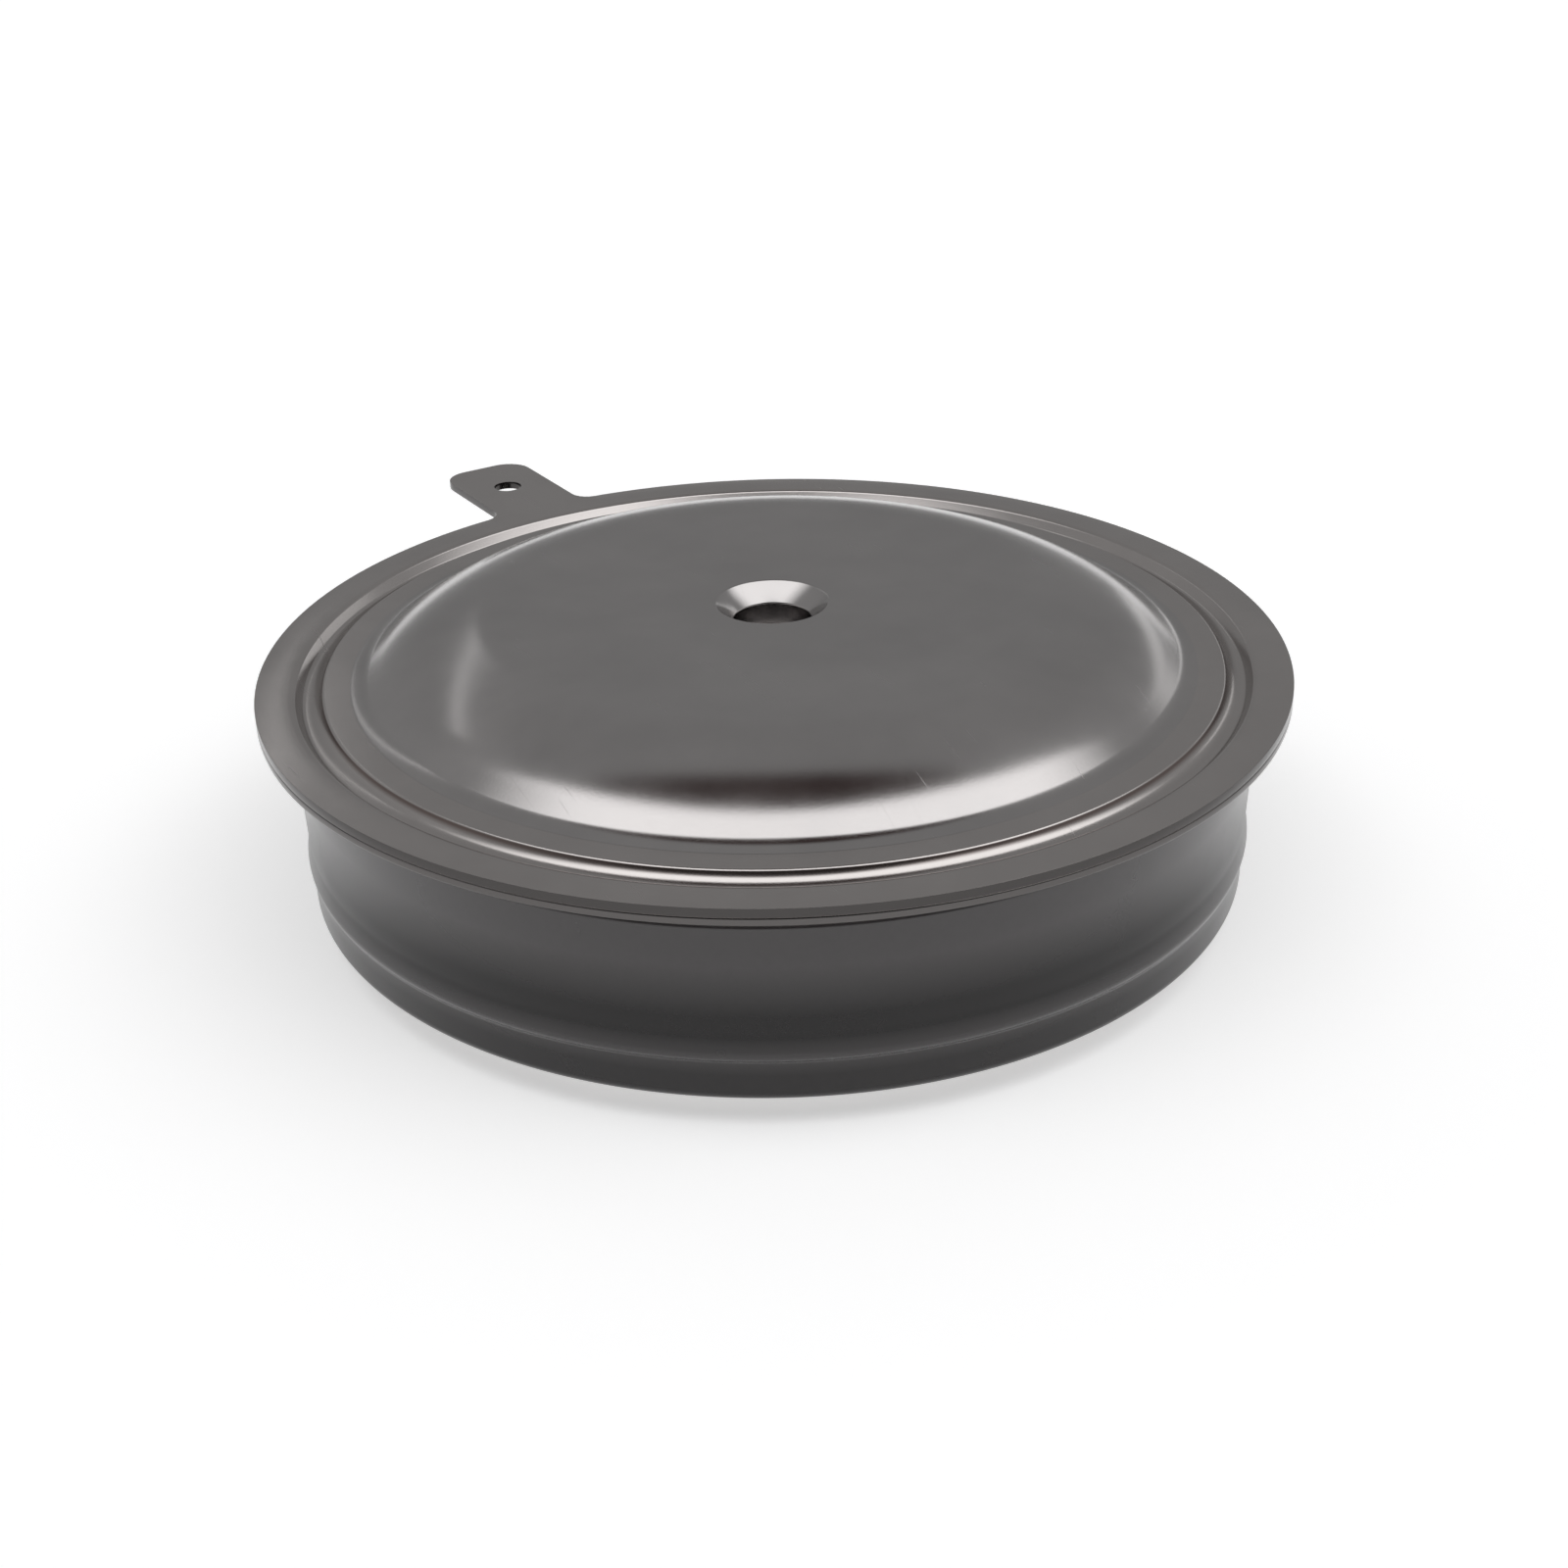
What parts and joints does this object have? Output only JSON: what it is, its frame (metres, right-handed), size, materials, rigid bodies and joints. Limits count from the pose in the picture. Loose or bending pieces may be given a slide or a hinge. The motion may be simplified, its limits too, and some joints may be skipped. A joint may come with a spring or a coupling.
{
  "type": "disc thyristor",
  "caption": "Flat round press-pack thyristor with nickel-plated contact faces, a glazed ceramic wall, a rimmed lid with a pressed groove, and plug tabs for gate and auxiliary cathode.",
  "frame": {"origin": "centre of the lower contact face", "axes": "+Z is the press axis, from the lower contact face to the lid; +Y points along the plug tabs"},
  "size_m": [0.048, 0.0556, 0.014],
  "materials": {
    "pole_nickel": "satin nickel plating on copper",
    "flange_sheet": "satin nickel-plated sheet",
    "glazed_wall": "smooth grey glaze",
    "molybdenum": "lapped metal",
    "silicon": "metallised silicon",
    "silicone": "cured silicone",
    "fluoropolymer": "white fluoropolymer",
    "gate_metal": "gold-flashed wire",
    "spring_steel": "drawn wire"
  },
  "bodies": {
    "root": {"ceramic_ring": "glazed_wall", "upper_weld_ring": "flange_sheet", "cathode_flange": "flange_sheet", "cathode_pole": "pole_nickel", "lower_flange": "flange_sheet", "anode_pole": "pole_nickel", "gate_tube": "flange_sheet", "gate_terminal": "flange_sheet", "anode_disc": "molybdenum", "silicon_wafer": "silicon", "edge_seal": "silicone", "cathode_disc": "molybdenum", "centering_ring": "fluoropolymer", "gate_pin": "gate_metal", "gate_spring": "spring_steel", "gate_insulator": "fluoropolymer", "gate_lead": "gate_metal", "lead_sleeve": "fluoropolymer"}
  },
  "joints": []
}
